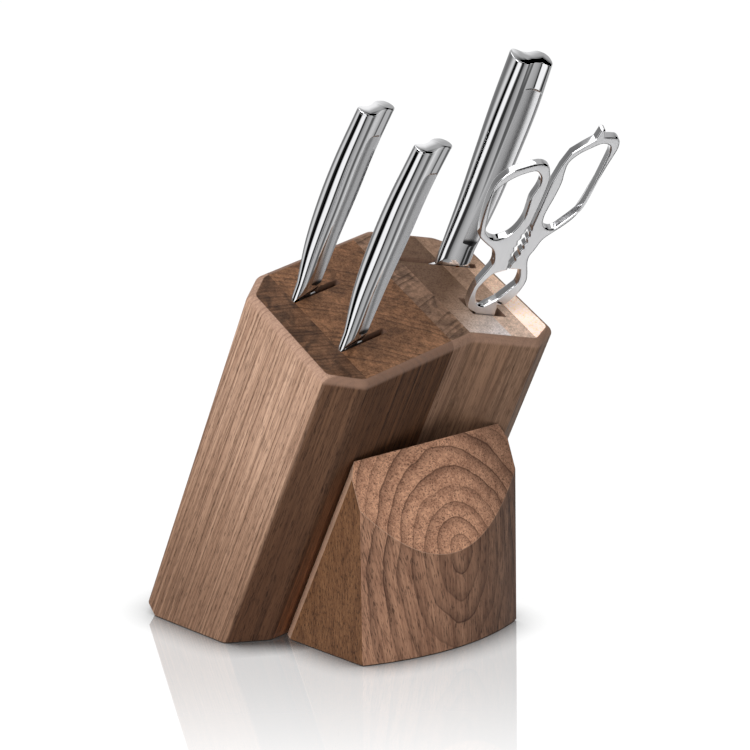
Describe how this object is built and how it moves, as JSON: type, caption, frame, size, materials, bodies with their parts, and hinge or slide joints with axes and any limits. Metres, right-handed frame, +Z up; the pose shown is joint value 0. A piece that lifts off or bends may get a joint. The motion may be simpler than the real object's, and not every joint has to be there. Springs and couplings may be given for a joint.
{
  "type": "knife block with knives",
  "caption": "Walnut knife block leaning forward on a bowed foot, holding steel-handled knives and kitchen shears in slots along its length.",
  "frame": {"origin": "on the floor, under the middle of the part's bounding box", "axes": "+Z up; the foot and the lean face -Y; +X to the right seen from the foot's side"},
  "size_m": [0.1522, 0.227, 0.302],
  "materials": {
    "walnut": "oiled walnut, fine straight grain",
    "walnut_foot": "oiled walnut, flat-sawn grain",
    "dowel_wood": "plain beech",
    "pad_rubber": "matte",
    "polished_steel": "mirror-polished stainless steel",
    "blade_steel": "satin",
    "shears_steel": "satin faces, polished edges"
  },
  "bodies": {
    "block": {"stave_a": "walnut", "stave_b": "walnut", "stave_c": "walnut", "stave_d": "walnut", "stave_e": "walnut", "stave_f": "walnut", "foot_dowel_left": "dowel_wood", "foot_dowel_right": "dowel_wood", "foot": "walnut_foot", "pad_front_left": "pad_rubber", "pad_front_right": "pad_rubber", "pad_back_left": "pad_rubber", "pad_back_right": "pad_rubber", "pad_ridge": "pad_rubber", "pad_foot_left": "pad_rubber", "pad_foot_right": "pad_rubber"},
    "front_knife": {"front_knife_blade": "blade_steel", "front_knife_bolster": "polished_steel", "front_knife_handle": "polished_steel", "front_knife_cap": "polished_steel"},
    "back_knife": {"back_knife_blade": "blade_steel", "back_knife_bolster": "polished_steel", "back_knife_handle": "polished_steel", "back_knife_cap": "polished_steel"},
    "chef_knife": {"chef_knife_blade": "blade_steel", "chef_knife_bolster": "polished_steel", "chef_knife_handle": "polished_steel", "chef_knife_cap": "polished_steel"},
    "shears": {"shears_left": "shears_steel", "shears_pivot": "polished_steel", "shears_nut": "polished_steel"},
    "shears_arm": {"shears_right": "shears_steel"}
  },
  "joints": [
    {"name": "front_knife_lift", "type": "slide", "parent": "block", "child": "front_knife", "axis": [0, -0.4656, 0.885], "range_m": [0, 0.145]},
    {"name": "back_knife_lift", "type": "slide", "parent": "block", "child": "back_knife", "axis": [0, -0.4656, 0.885], "range_m": [0, 0.112]},
    {"name": "chef_knife_lift", "type": "slide", "parent": "block", "child": "chef_knife", "axis": [0, -0.4656, 0.885], "range_m": [0, 0.21]},
    {"name": "shears_lift", "type": "slide", "parent": "block", "child": "shears", "axis": [0, -0.4656, 0.885], "range_m": [0, 0.13]},
    {"name": "shears_open", "type": "hinge", "parent": "shears", "child": "shears_arm", "pos_m": [0.04463, -0.04203, 0.1561], "axis": [0.4099, 0.8072, 0.4247], "range_deg": [0, 5]}
  ]
}
